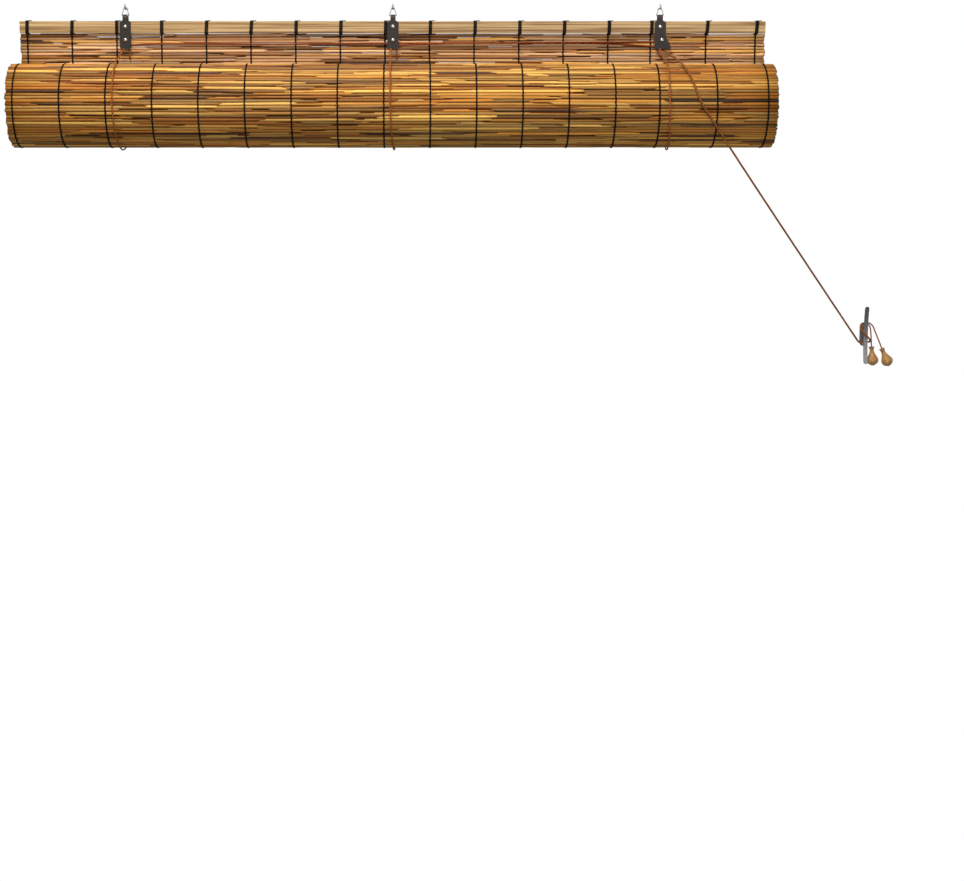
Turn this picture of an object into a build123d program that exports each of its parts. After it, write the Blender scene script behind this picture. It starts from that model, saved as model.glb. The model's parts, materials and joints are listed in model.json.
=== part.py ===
"""Reed roll-up blind, rolled up to the top, hung from three screw hooks on a wall.

Millimetres. X runs along the blind, the wall face is y = 0 and the room is towards -Y, Z is up.
The origin is where the middle hook enters the wall, on the hook's own axis.
"""
from build123d import *
from math import acos, asin, atan2, cos, degrees, hypot, pi, radians, sin, sqrt, tan
import os

os.makedirs("parts", exist_ok=True)

# Driving dimensions: mat and headrail
blind_width = 1400.0
blind_drop = 1600.0        # top of the headrail to the bottom reed when let down
rail_height = 22.4
rail_thickness = 12.0
rail_top = -23.5           # below the hooks' axis
rail_edge = 1.5            # rounding along the slat
reed_diameter = 4.5
reed_pitch = 5.8
web_thickness = 1.2        # the bound joint between two reeds
gap_height = 0.8           # daylight between two reeds
gapped_rows = 7

# Driving dimensions: roll
roll_radius = 80.9         # at the back, where the outer turn starts
roll_depth = 179.2         # hook axis down to the roll's axis
winding_pitch = 8.0        # from one turn to the next
end_clearance = 0.4        # mat's hanging part to the roll's outer end

# Driving dimensions: binding threads
thread_margin = 12.7       # left edge to the first thread
thread_pitch = 84.0
pitched_threads = 14
right_thread_margins = (215.2, 110.7, 17.8)
thread_width = 2.0
thread_thickness = 0.8
wrap_width = 7.0
wrap_thickness = 1.6
wrap_overhang = 1.2        # the wrap stands off the slat's top and bottom

# Driving dimensions: brackets, rivets and pulleys
bracket_inset = 198.0      # mat's end to the middle of an outer bracket
plate_thickness = 1.2
plate_width = 21.0
plate_top = -22.0
plate_bottom = -74.8
shoulder_drop = 3.4
neck_width = 9.6
flare_width = 12.0
flare_top = -51.0
plate_corner = 2.5
rivet_diameter = 3.0
rivet_head_diameter = 8.0
rivet_head_height = 2.2
tail_head_diameter = 5.6
tail_head_height = 1.0
rivet_clearance = 0.05
upper_rivet_z = -34.0
lower_rivet_z = -58.6
pulley_z = -68.2
pulley_shift = 3.9         # right-hand pulley, towards the flare
pulley_width = 6.5
pulley_radius = 5.0
groove_radius = 2.4
groove_clearance = 0.3
pin_diameter = 2.4
running_clearance = 0.05
pulley_to_plate = 0.4
lane_gap = 0.1

# Driving dimensions: rings and hooks
ring_wire = 1.8
ring_width = 14.7
ring_bar_z = -13.3
ring_corner = 1.3
hook_diameter = 3.0
hook_rise = 7.2
hook_front = 4.5           # ring to the upturned tip
hook_bend = 3.0
hook_thread_length = 18.0
hook_point = 4.0
collar_diameter = 5.5
collar_thickness = 1.2
ring_seat = 0.1

# Driving dimensions: cords
cord_diameter = 2.7
draw_diameter = 3.6        # the lift cords laid together
wall_clearance = 1.5
cord_clearance = 0.4
cord_hole = 9.4
through_depth = 94.0       # where the back strand goes through the mat
through_slant = 2.5
back_run = 35.0            # plumb end of the back strand above the roll's axis
back_shift = {"left": 6.8, "middle": 6.8, "right": 5.4}
back_start_shift = {"left": 6.8, "middle": 6.8, "right": -5.0}
cord_drift = 12.0          # how far the loop slants sideways under the roll
loop_turns = 12
drift_from = 4             # corners of the loop before it starts to slant
touch_run = 12.0           # the loop's straight start, in line with the strand above
back_angle = 270.0         # the roll's back, counted from its top, forwards and down
draw_leave = 107.5         # angle from the roll's top where the draw cord leaves it

# Driving dimensions: cleat and pulls
cleat_gap = 207.0          # mat's right-hand end to the cleat
cleat_z = -617.5
cleat_length = 111.0
horn_width = 7.6
horn_thickness = 3.2
horn_standoff = 15.0
horn_tip_lift = 7.0
stem_width = 7.0
stem_height = 16.0
base_width = 16.0
base_height = 46.0
base_thickness = 2.0
screw_offset = 16.5
screw_diameter = 3.4
screw_shank = 4.4          # in the cleat's foot
screw_head_diameter = 7.6
screw_head_height = 1.8
screw_length = 22.0
pull_length = 36.0
pull_diameter = 21.5
pull_neck = 8.0
pull_mouth = 12.0
pull_foot = 5.0
pull_neck_drop = 8.0
pull_belly_drop = 24.0
pull_seat = 0.3

# Derived places
half_width = blind_width / 2
rail_bottom = rail_top - rail_height
reed_radius = reed_diameter / 2
mat_y = -(wall_clearance + cord_diameter + cord_clearance + reed_radius)
line_radius = roll_radius - reed_radius
roll_y = mat_y - line_radius
roll_z = -roll_depth
seat = 0.15                # crest of a reed to the metal or wood beside it
rail_back = mat_y + reed_radius + seat
rail_front = rail_back - rail_thickness
rail_mid = (rail_back + rail_front) / 2
plate_back = rail_back + plate_thickness
plate_front = rail_front - plate_thickness
mat_length = blind_drop - rail_height
hanging_length = roll_depth + rail_bottom
rolled_length = mat_length - hanging_length
pulley_y = rail_front + pulley_to_plate + pulley_width / 2
cord_turn = groove_radius + groove_clearance + cord_diameter / 2
own_lane = pulley_y - (cord_diameter + lane_gap) / 2
far_lane = pulley_y + (cord_diameter + lane_gap) / 2
loop_radius = roll_radius + cord_clearance + cord_diameter / 2
back_cord_y = roll_y + loop_radius
cleat_x = half_width + cleat_gap
outer_station = half_width - bracket_inset
stations = {"left": -outer_station, "middle": 0.0, "right": outer_station}
pulley_x = {"left": -outer_station, "middle": 0.0, "right": outer_station + pulley_shift}
threads_x = [-half_width + thread_margin + thread_pitch * i for i in range(pitched_threads)]
threads_x += [half_width - margin for margin in right_thread_margins]


def save(part, name):
    """Label a finished piece and write its STEP file."""
    part.label = name
    export_step(part, f"parts/{name}.step")


def bend_radii(points, given):
    """Radius at each corner of a cord: given ones kept, the rest as large as the two runs allow."""
    radii = []
    for i in range(1, len(points) - 1):
        before = Vector(*points[i]) - Vector(*points[i - 1])
        after = Vector(*points[i + 1]) - Vector(*points[i])
        half_turn = radians(before.get_angle(after)) / 2
        radius = 0.45 * min(before.length, after.length) / tan(half_turn)
        radii.append(given.get(i, radius))
    return radii


def cord(name, points, diameter, given=None):
    """A plain tube along straight runs joined by tangent arcs."""
    radii = bend_radii(points, given or {})
    with BuildPart() as tube:
        with BuildLine() as path:
            FilletPolyline(*points, radius=radii)
        with BuildSketch(Plane(origin=path.line @ 0, z_dir=path.line % 0)):
            Circle(diameter / 2)
        sweep()
    length = sum(edge.length for edge in path.edges())
    ratio = tube.part.volume / (pi * diameter**2 / 4 * length)
    print(name, "radii", [round(r, 1) for r in radii], "length", round(length, 1), "volume", round(ratio, 4))
    save(tube.part, name)


def around_roll(radius, first, last, turns, x_first, x_last):
    """Corners of a polygon that hugs the roll; angles run from the top, forwards and down."""
    step = (last - first) / turns
    corners = []
    for i in range(turns):
        angle = first + step * (i + 0.5)
        x = x_first + (x_last - x_first) * (i + 0.5) / turns
        corners.append(on_roll(radius, angle, x, 1 / cos(radians(step / 2))))
    return corners


def on_roll(radius, angle, x, stretch=1.0):
    """One point at an angle from the roll's top, forwards and down."""
    a = radians(angle)
    reach = radius * stretch
    return (x, roll_y - reach * sin(a), roll_z + reach * cos(a))


def tangent_angle(y, z, radius):
    """Angle from the roll's top, forwards, at which a tight cord from (y, z) meets the roll."""
    distance = hypot(roll_y - y, roll_z - z)
    return degrees(atan2(roll_y - y, z - roll_z) + acos(radius / distance))


# Headrail: one wooden slat, drilled for the three upper rivets
with BuildPart() as headrail:
    with BuildSketch(Plane.YZ.offset(-half_width)):
        with Locations((rail_mid, (rail_top + rail_bottom) / 2)):
            RectangleRounded(rail_thickness, rail_height, rail_edge)
    extrude(amount=blind_width)
    with BuildSketch(Plane.XZ.offset(-rail_back)):
        with Locations(*[(x, upper_rivet_z) for x in stations.values()]):
            Circle(rivet_diameter / 2 + rivet_clearance)
    extrude(amount=rail_thickness, mode=Mode.SUBTRACT)
save(headrail.part, "headrail")

# Thread wraps that tie the mat to the headrail, each a closed band round the slat with its knot below
with BuildPart() as rail_wraps:
    with BuildSketch(*[Plane.YZ.offset(x - wrap_width / 2) for x in threads_x]):
        with Locations((rail_mid, (rail_top + rail_bottom) / 2)):
            RectangleRounded(rail_thickness + 2 * wrap_thickness, rail_height + 2 * wrap_overhang,
                             rail_edge + wrap_overhang)
            RectangleRounded(rail_thickness, rail_height, rail_edge, mode=Mode.SUBTRACT)
    extrude(amount=wrap_width)
save(rail_wraps.part, "rail_wraps")

# Hanging part of the mat: one ridged wall, open between the upper reeds, with holes for pins and cords
mat_top = rail_bottom - wrap_overhang - seat
mat_end = roll_z + end_clearance
rows = round((mat_top - mat_end) / reed_pitch)
row_pitch = (mat_top - mat_end) / rows
ridge_half = (row_pitch - gap_height) / 2
web_half = web_thickness / 2
row_middles = [mat_top - row_pitch * (i + 0.5) for i in range(rows)]


def ridge_line(middles, side, first):
    """One face of the mat, reed after reed; side is +1 towards the wall, -1 towards the room."""
    web = mat_y + side * web_half
    crest = mat_y + side * reed_radius
    down = 1 if middles[0] > middles[-1] else -1
    height = first
    for middle in middles:
        enter = middle + down * ridge_half
        leave = middle - down * ridge_half
        Line((web, height), (web, enter))
        ThreePointArc((web, enter), (crest, middle), (web, leave))
        height = middle - down * row_pitch / 2
        Line((web, leave), (web, height))


with BuildPart() as flat_mat:
    with BuildSketch(Plane.YZ.offset(-half_width)):
        with BuildLine():
            ridge_line(row_middles, 1, mat_top)
            Line((mat_y + web_half, mat_end), (mat_y - web_half, mat_end))
            ridge_line(row_middles[::-1], -1, mat_end)
            Line((mat_y - web_half, mat_top), (mat_y + web_half, mat_top))
        make_face()
    extrude(amount=blind_width)
    with BuildSketch(Plane.XZ.offset(-mat_y)):
        for left, right in zip(threads_x[:-1], threads_x[1:]):
            for i in range(1, gapped_rows + 1):
                with Locations(((left + right) / 2, mat_top - row_pitch * i)):
                    Rectangle(right - left - 4 * thread_width, gap_height)
    extrude(amount=web_half, both=True, mode=Mode.SUBTRACT)
    with BuildSketch(Plane.XZ.offset(-mat_y)):
        with Locations(*[(x, lower_rivet_z) for x in pulley_x.values()]):
            Circle(rivet_diameter / 2 + cord_clearance)
        with Locations(*[(x, pulley_z) for x in pulley_x.values()]):
            Circle(pin_diameter / 2 + cord_clearance)
        with Locations(*[(stations[side] + back_shift[side], -through_depth) for side in stations]):
            Circle(cord_hole / 2)
    extrude(amount=reed_diameter, both=True, mode=Mode.SUBTRACT)
save(flat_mat.part, "flat_mat")

# Rolled part of the mat: one spiral wall, its outer turn ridged reed by reed
turned = (line_radius - sqrt(line_radius**2 - rolled_length * winding_pitch / pi)) * 2 * pi / winding_pitch


def wound_angle(length):
    """Angle wound, from the outer end, after a length of mat."""
    root = sqrt(line_radius**2 - length * winding_pitch / pi)
    return (line_radius - root) * 2 * pi / winding_pitch


def wound(angle, offset):
    """A point (y, z) of the spiral, offset outwards from the middle of the mat."""
    radius = line_radius - winding_pitch * angle / (2 * pi) + offset
    return (roll_y + radius * cos(angle), roll_z - radius * sin(angle))


def spiral_line(first, last, offset, per_turn=12):
    """Arcs along the spiral from one wound angle to another."""
    count = max(1, round(abs(last - first) * per_turn / (2 * pi)))
    step = (last - first) / count
    for i in range(count):
        start = first + step * i
        ThreePointArc(wound(start, offset), wound(start + step / 2, offset), wound(start + step, offset))


outer_reeds = int(line_radius * 2 * pi * 0.945 // reed_pitch)
with BuildPart() as rolled_mat:
    with BuildSketch(Plane.YZ.offset(-half_width)):
        with BuildLine():
            for i in range(outer_reeds):
                reach = [wound_angle(reed_pitch * i + step) for step in (
                    0, gap_height / 2, reed_pitch / 2, reed_pitch - gap_height / 2, reed_pitch)]
                Line(wound(reach[0], web_half), wound(reach[1], web_half))
                ThreePointArc(wound(reach[1], web_half), wound(reach[2], reed_radius),
                              wound(reach[3], web_half))
                Line(wound(reach[3], web_half), wound(reach[4], web_half))
            ridged = wound_angle(reed_pitch * outer_reeds)
            Line(wound(ridged, web_half), wound(ridged, reed_radius))
            spiral_line(ridged, turned, reed_radius)
            Line(wound(turned, reed_radius), wound(turned, -reed_radius))
            spiral_line(turned, 0, -reed_radius)
            Line(wound(0, -reed_radius), wound(0, web_half))
        make_face()
    extrude(amount=blind_width)
save(rolled_mat.part, "rolled_mat")

# Binding threads: strips down both faces of the hanging mat, and bands round the roll's outer turn
thread_seat = 0.05
with BuildPart() as flat_threads:
    for face in (mat_y + reed_radius + thread_seat, mat_y - reed_radius - thread_seat - thread_thickness):
        with BuildSketch(Plane.XY.offset(mat_top)):
            with Locations(*[(x, face + thread_thickness / 2) for x in threads_x]):
                Rectangle(thread_width, thread_thickness)
        extrude(amount=mat_end - mat_top)
save(flat_threads.part, "flat_threads")

with BuildPart() as roll_threads:
    with BuildSketch(*[Plane.YZ.offset(x - thread_width / 2) for x in threads_x]):
        with BuildLine():
            inner = reed_radius + thread_seat
            outer = inner + thread_thickness
            spiral_line(0, ridged, outer)
            Line(wound(ridged, outer), wound(ridged, inner))
            spiral_line(ridged, 0, inner)
            Line(wound(0, inner), wound(0, outer))
        make_face()
    extrude(amount=thread_width)
save(roll_threads.part, "roll_threads")

# Brackets: a folded strap astride the slat, necked over the ring's bar; the right one is flared
arch_inner = rail_thickness / 2
arch_z = ring_bar_z + ring_wire / 2 + ring_seat - arch_inner


def strap_line(inset, down):
    """Half of the strap's outline: leaf, arch, leaf."""
    front = plate_front + inset
    back = plate_back - inset
    reach = (back - front) / 2
    if down:
        Line((back, plate_bottom), (back, arch_z))
        ThreePointArc((back, arch_z), (rail_mid, arch_z + reach), (front, arch_z))
        Line((front, arch_z), (front, plate_bottom))
    else:
        Line((front, plate_bottom), (front, arch_z))
        ThreePointArc((front, arch_z), (rail_mid, arch_z + reach), (back, arch_z))
        Line((back, arch_z), (back, plate_bottom))


def bracket(side):
    """One bracket with its rivet and pin holes."""
    x = stations[side]
    half = plate_width / 2
    flare = flare_width if side == "right" else 0.0
    outline = [(-neck_width / 2, 0), (-neck_width / 2, plate_top), (-half, plate_top - shoulder_drop),
               (-half, plate_bottom), (half + flare, plate_bottom)]
    outline += [(half, flare_top)] if flare else []
    outline += [(half, plate_top - shoulder_drop), (neck_width / 2, plate_top), (neck_width / 2, 0)]
    with BuildPart() as piece:
        with BuildSketch(Plane.YZ.offset(x - plate_width)):
            with BuildLine():
                strap_line(0, True)
                Line((plate_front, plate_bottom), (rail_front, plate_bottom))
                strap_line(plate_thickness, False)
                Line((rail_back, plate_bottom), (plate_back, plate_bottom))
            make_face()
        extrude(amount=2 * (plate_width + flare_width))
        with BuildSketch(Plane.XZ.offset(-plate_back)) as silhouette:
            with BuildLine():
                Polyline(*[(x + a, b) for a, b in outline], close=True)
            make_face()
            fillet(silhouette.vertices().group_by(Axis.Y)[0], plate_corner)
        extrude(amount=plate_back - plate_front, mode=Mode.INTERSECT)
        with BuildSketch(Plane.XZ.offset(-plate_back)):
            with Locations((x, upper_rivet_z), (pulley_x[side], lower_rivet_z)):
                Circle(rivet_diameter / 2 + rivet_clearance)
            with Locations((pulley_x[side], pulley_z)):
                Circle(pin_diameter / 2 + rivet_clearance)
        extrude(amount=plate_back - plate_front, mode=Mode.SUBTRACT)
    save(piece.part, f"bracket_{side}")


def rivets(side):
    """The two rivets of a bracket: domed heads in front, small flat heads at the back."""
    with BuildPart() as piece:
        for x, z in ((stations[side], upper_rivet_z), (pulley_x[side], lower_rivet_z)):
            with BuildSketch(Plane.YZ.offset(x)):
                with BuildLine():
                    nose = (plate_front - rivet_head_height, z)
                    rim = (plate_front, z + rivet_head_diameter / 2)
                    bulge = (plate_front - rivet_head_height * 0.8, z + rivet_head_diameter * 0.27)
                    ThreePointArc(nose, bulge, rim)
                    Polyline(rim, (plate_front, z + rivet_diameter / 2),
                             (plate_back, z + rivet_diameter / 2),
                             (plate_back, z + tail_head_diameter / 2),
                             (plate_back + tail_head_height, z + tail_head_diameter / 2),
                             (plate_back + tail_head_height, z), nose)
                make_face()
            revolve(axis=Axis((x, 0, z), (0, 1, 0)))
    save(piece.part, f"rivets_{side}")


def pulley(side):
    """A grooved wheel and the plain pin it turns on."""
    x = pulley_x[side]
    edge = pulley_width / 2
    lane = cord_diameter + lane_gap
    with BuildPart() as wheel:
        with BuildSketch(Plane.YZ.offset(x)):
            bore = pulley_z + pin_diameter / 2 + running_clearance
            rim = pulley_z + pulley_radius
            floor = pulley_z + groove_radius
            with BuildLine():
                Polyline((pulley_y - edge, bore), (pulley_y - edge, rim), (pulley_y - lane - lane_gap, rim),
                         (pulley_y - lane, floor), (pulley_y + lane, floor),
                         (pulley_y + lane + lane_gap, rim), (pulley_y + edge, rim), (pulley_y + edge, bore),
                         close=True)
            make_face()
        revolve(axis=Axis((x, 0, pulley_z), (0, 1, 0)))
    save(wheel.part, f"pulley_{side}")
    with BuildPart() as pin:
        with BuildSketch(Plane.XZ.offset(-plate_back)):
            with Locations((x, pulley_z)):
                Circle(pin_diameter / 2)
        extrude(amount=plate_back - plate_front)
    save(pin.part, f"pulley_pin_{side}")


for side in stations:
    bracket(side)
    rivets(side)
    pulley(side)

# Hooks and rings: a threaded screw hook with a collar, and the wire triangle that hangs on it
tip_y = rail_mid - hook_front
ring_radius = hook_diameter / 2 + ring_seat + ring_wire / 2


def hook(side):
    """A screw hook: thread and point in the wall, collar, shank and upturned tip."""
    x = stations[side]
    half = hook_diameter / 2
    with BuildPart() as piece:
        with BuildLine() as path:
            FilletPolyline((x, 0, 0), (x, tip_y, 0), (x, tip_y, hook_rise), radius=hook_bend)
        with BuildSketch(Plane(origin=path.line @ 0, z_dir=path.line % 0)):
            Circle(half)
        sweep()
        with Locations((x, tip_y, hook_rise)):
            Sphere(half)
        with BuildSketch(Plane.YZ.offset(x)):
            with BuildLine():
                Polyline((-collar_thickness, 0), (-collar_thickness, collar_diameter / 2),
                         (0, collar_diameter / 2), (0, half), (hook_thread_length, half),
                         (hook_thread_length + hook_point, 0), close=True)
            make_face()
        revolve(axis=Axis((x, 0, 0), (0, 1, 0)))
    save(piece.part, f"hook_{side}")


def ring(side):
    """A closed wire triangle: its apex curves over the hook, its bar lies under the bracket's arch."""
    x = stations[side]
    centre_x = ring_width / 2 - ring_wire / 2 - ring_corner
    centre_z = ring_bar_z + ring_corner
    swing = acos((ring_radius - ring_corner) / hypot(centre_x, centre_z))
    half_apex = swing - atan2(-centre_z, centre_x)

    def at(radius, angle, cx, cz):
        """A point (across, up) on a circle of the ring's plane."""
        return (cx + radius * cos(angle), cz + radius * sin(angle))

    low = at(ring_corner, -pi / 2, centre_x, centre_z)
    bow = at(ring_corner, -pi / 4 + half_apex / 2, centre_x, centre_z)
    high = at(ring_corner, half_apex, centre_x, centre_z)
    shoulder = at(ring_radius, half_apex, 0, 0)
    half = [low, bow, high, shoulder]
    right = [(x + across, rail_mid, up) for across, up in half]
    left = [(x - across, rail_mid, up) for across, up in half]
    with BuildPart() as piece:
        with BuildLine() as path:
            Line((x, rail_mid, ring_bar_z), right[0])
            ThreePointArc(*right[:3])
            Line(right[2], right[3])
            ThreePointArc(right[3], (x, rail_mid, ring_radius), left[3])
            Line(left[3], left[2])
            ThreePointArc(*left[2::-1])
            Line(left[0], (x, rail_mid, ring_bar_z))
        with BuildSketch(Plane(origin=path.line @ 0, z_dir=path.line % 0)):
            Circle(ring_wire / 2)
        sweep()
    save(piece.part, f"ring_{side}")


for side in stations:
    hook(side)
    ring(side)

# Lift cords: from each pulley over the roll's front, round under it and up behind the mat
edge_gap = cord_diameter / 2 + plate_thickness
start_z = plate_bottom - edge_gap
lanes = {"left": far_lane, "middle": own_lane, "right": own_lane}


def lift_cord(side):
    """The lift cord of one station, in three lengths that meet face to face."""
    x = pulley_x[side] - cord_turn
    lane = lanes[side]
    behind = stations[side] + back_shift[side]
    first = stations[side] + back_start_shift[side]
    last = x + cord_drift
    angle = tangent_angle(lane, start_z, loop_radius)
    corners = []
    for i, (_, y, z) in enumerate(around_roll(loop_radius, angle, back_angle, loop_turns, x, last)):
        share = max(0.0, (i + 1 - drift_from) / (loop_turns - drift_from))
        corners.append((x + (last - x) * share, y, z))
    corners[-1] = (last, back_cord_y, corners[-1][2])
    hanging = Vector(x, lane, start_z) - Vector(*corners[0])
    touch = tuple(Vector(*corners[0]) + hanging.normalized() * touch_run)
    cord(f"lift_cord_{side}_front", [(x, lane, plate_bottom + edge_gap), (x, lane, start_z), touch],
         cord_diameter)
    cord(f"lift_cord_{side}_loop", [touch, *corners, on_roll(loop_radius, back_angle, last)], cord_diameter)
    cord(f"lift_cord_{side}_back",
         [(first, pulley_y, pulley_z - cord_diameter), (first + 0.1, pulley_y, start_z - cord_diameter),
          (behind, pulley_y + cord_clearance, through_slant - through_depth),
          (behind, back_cord_y, -through_slant - through_depth),
          (last, back_cord_y, roll_z + back_run), (last, back_cord_y, roll_z)], cord_diameter)


for side in stations:
    lift_cord(side)

# Cross cords: over their own pulley, along the mat and down past the right-hand pulley
second_layer = cord_turn + sqrt((cord_diameter + lane_gap)**2 - ((cord_diameter + lane_gap) / 2)**2)
exit_z = plate_bottom - 1.5
right_x = pulley_x["right"]
top_z = pulley_z + cord_turn
rise_z = plate_bottom + edge_gap
bend = cord_turn - 0.05
cord("cross_cord_left",
     [(pulley_x["left"] - cord_turn, far_lane, rise_z), (pulley_x["left"] - cord_turn, far_lane, top_z),
      (right_x + cord_turn, far_lane, top_z), (right_x + cord_turn, far_lane, exit_z)],
     cord_diameter, {1: bend, 2: bend})
cord("cross_cord_middle",
     [(pulley_x["middle"] - cord_turn, own_lane, rise_z), (pulley_x["middle"] - cord_turn, own_lane, top_z),
      (right_x - 3 * plate_width, own_lane, pulley_z + second_layer - 0.2),
      (right_x + second_layer, pulley_y, pulley_z + second_layer),
      (right_x + second_layer, pulley_y, exit_z)],
     cord_diameter, {1: bend, 3: second_layer - 0.05})
cord("cross_cord_right",
     [(right_x - cord_turn, own_lane, rise_z), (right_x - cord_turn, own_lane, top_z),
      (right_x + cord_turn, own_lane, top_z), (right_x + cord_turn, own_lane, exit_z)],
     cord_diameter, {1: bend, 2: bend})

# Draw cord: the three cords laid together, over the roll's front and tight to the cleat
draw_radius = roll_radius + thread_seat + thread_thickness + cord_clearance + draw_diameter / 2
draw_top = (right_x + cord_turn + 0.8, pulley_y, exit_z - 0.8)
draw_edge = (draw_top[0] + 0.8, pulley_y - 1.6, exit_z - 4.0)
draw_touch = tangent_angle(draw_edge[1], draw_edge[2], draw_radius)
draw_end = (cleat_x - 14.0, -11.0, cleat_z - 11.0)
draw_corners = around_roll(draw_radius, draw_touch, draw_leave, 4, draw_edge[0] + 9.0, draw_edge[0] + 56.0)
arriving = (Vector(*draw_end) - Vector(*draw_corners[-1])).normalized()
cord("draw_cord", [draw_top, draw_edge, *draw_corners, draw_end], draw_diameter)
cord("cleat_winding",
     [draw_end, tuple(Vector(*draw_end) + arriving * 6.5), (cleat_x + 2.5, -9.0, cleat_z - 13.0),
      (cleat_x + 10.0, -14.0, cleat_z - 14.0), (cleat_x + 7.5, -21.5, cleat_z - 7.0),
      (cleat_x - 7.0, -22.0, cleat_z + 7.0), (cleat_x - 10.5, -14.5, cleat_z + 15.0),
      (cleat_x - 5.5, -9.0, cleat_z + 20.0), (cleat_x + 3.5, -9.0, cleat_z + 20.0)], draw_diameter)

# Tails and pulls: two cord ends hang from the cleat, each in a turned wooden pull
long_tail = [(cleat_x + 3.5, -9.0, cleat_z + 20.0), (cleat_x + 7.6, -9.0, cleat_z + 20.0),
             (cleat_x + 10.2, -11.5, cleat_z + 13.5),
             (cleat_x + 11.3, -12.5, cleat_z + 1.5), (cleat_x + 12.2, -12.5, cleat_z - 11.0),
             (cleat_x + 13.1, -12.5, cleat_z - 23.1)]
short_tail = [(cleat_x + 4.6, -9.5, cleat_z + 23.6), (cleat_x + 13.0, -12.0, cleat_z + 21.2),
              (cleat_x + 18.5, -12.5, cleat_z + 8.0), (cleat_x + 23.9, -12.5, cleat_z - 5.0),
              (cleat_x + 29.0, -12.5, cleat_z - 16.0), (cleat_x + 33.0, -12.5, cleat_z - 26.8)]
cord("tail_cord_long", long_tail, cord_diameter)
cord("tail_cord_short", short_tail, cord_diameter)


def pull(name, cord_end, tilt):
    """A pear-shaped pull, turned about the line its cord hangs along."""
    lean = radians(tilt)
    mouth = Vector(*cord_end) + Vector(sin(lean), 0, -cos(lean)) * pull_seat
    along = Plane(origin=mouth, x_dir=(cos(lean), 0, sin(lean)), z_dir=(0, -1, 0))
    with BuildPart() as piece:
        with BuildSketch(along):
            with BuildLine():
                rim = (pull_mouth / 2, 0)
                foot = (pull_foot / 2, -pull_length)
                Line((0, 0), rim)
                Spline(rim, (pull_neck / 2, -pull_neck_drop), (pull_diameter / 2, -pull_belly_drop), foot)
                Line(foot, (0, -pull_length))
                Line((0, -pull_length), (0, 0))
            make_face()
        revolve(axis=Axis(mouth, (sin(lean), 0, -cos(lean))))
    save(piece.part, name)


pull("pull_long", long_tail[-1], 6)
pull("pull_short", short_tail[-1], 25)

# Cleat: base plate, stem and two horns in one piece, with its two wood screws
horn_back = -horn_standoff
horn_front = horn_back - horn_thickness
with BuildPart() as horns:
    with BuildSketch(Plane.YZ.offset(cleat_x - horn_width / 2)):
        reach = cleat_length / 2
        with BuildLine():
            ThreePointArc((horn_back - horn_tip_lift, cleat_z + reach), (horn_back, cleat_z),
                          (horn_back - horn_tip_lift, cleat_z - reach))
            Line((horn_back - horn_tip_lift, cleat_z - reach),
                 (horn_front - horn_tip_lift, cleat_z - reach))
            ThreePointArc((horn_front - horn_tip_lift, cleat_z - reach), (horn_front, cleat_z),
                          (horn_front - horn_tip_lift, cleat_z + reach))
            Line((horn_front - horn_tip_lift, cleat_z + reach),
                 (horn_back - horn_tip_lift, cleat_z + reach))
        make_face()
    extrude(amount=horn_width)
    with BuildSketch(Plane.XZ):
        with Locations((cleat_x, cleat_z)):
            SlotOverall(cleat_length, horn_width, rotation=90)
    extrude(amount=2 * horn_standoff, mode=Mode.INTERSECT)
with BuildPart() as cleat:
    add(horns.part)
    with BuildSketch(Plane.XZ):
        with Locations((cleat_x, cleat_z)):
            SlotOverall(base_height, base_width, rotation=90)
        with Locations((cleat_x, cleat_z + screw_offset), (cleat_x, cleat_z - screw_offset)):
            Circle(screw_shank / 2 + rivet_clearance, mode=Mode.SUBTRACT)
    extrude(amount=base_thickness)
    with BuildSketch(Plane.XZ.offset(base_thickness)):
        with Locations((cleat_x, cleat_z)):
            RectangleRounded(stem_width, stem_height, stem_width / 2 - 0.1)
    extrude(amount=horn_standoff - base_thickness + horn_thickness / 2)
save(cleat.part, "cleat")

with BuildPart() as cleat_screws:
    for z in (cleat_z + screw_offset, cleat_z - screw_offset):
        head = -base_thickness
        with BuildSketch(Plane.YZ.offset(cleat_x)):
            with BuildLine():
                ThreePointArc((head - screw_head_height, z),
                              (head - screw_head_height * 0.75, z + screw_head_diameter * 0.3),
                              (head, z + screw_head_diameter / 2))
                Polyline((head, z + screw_head_diameter / 2), (head, z + screw_shank / 2),
                         (0, z + screw_shank / 2), (0, z + screw_diameter / 2),
                         (screw_length - screw_diameter, z + screw_diameter / 2), (screw_length, z),
                         (head - screw_head_height, z))
            make_face()
        revolve(axis=Axis((cleat_x, 0, z), (0, 1, 0)))
save(cleat_screws.part, "cleat_screws")
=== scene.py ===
"""Looks of a reed roll-up blind, rolled up under its headrail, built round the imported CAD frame.

Metres, in the frame's own axes: X along the blind, the wall face at y = 0, the room towards -Y, Z up.
The mat is one long sheet of reed rows. Every vertex carries how far down the mat it lies and how far
it stands off the mat's middle, and a geometry-node tree lays it flat above the roll and winds the rest.
"""

import json
import logging
import math
import random
from dataclasses import dataclass, field, replace
from enum import Enum

import bmesh
import bpy
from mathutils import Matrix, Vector, kdtree

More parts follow.
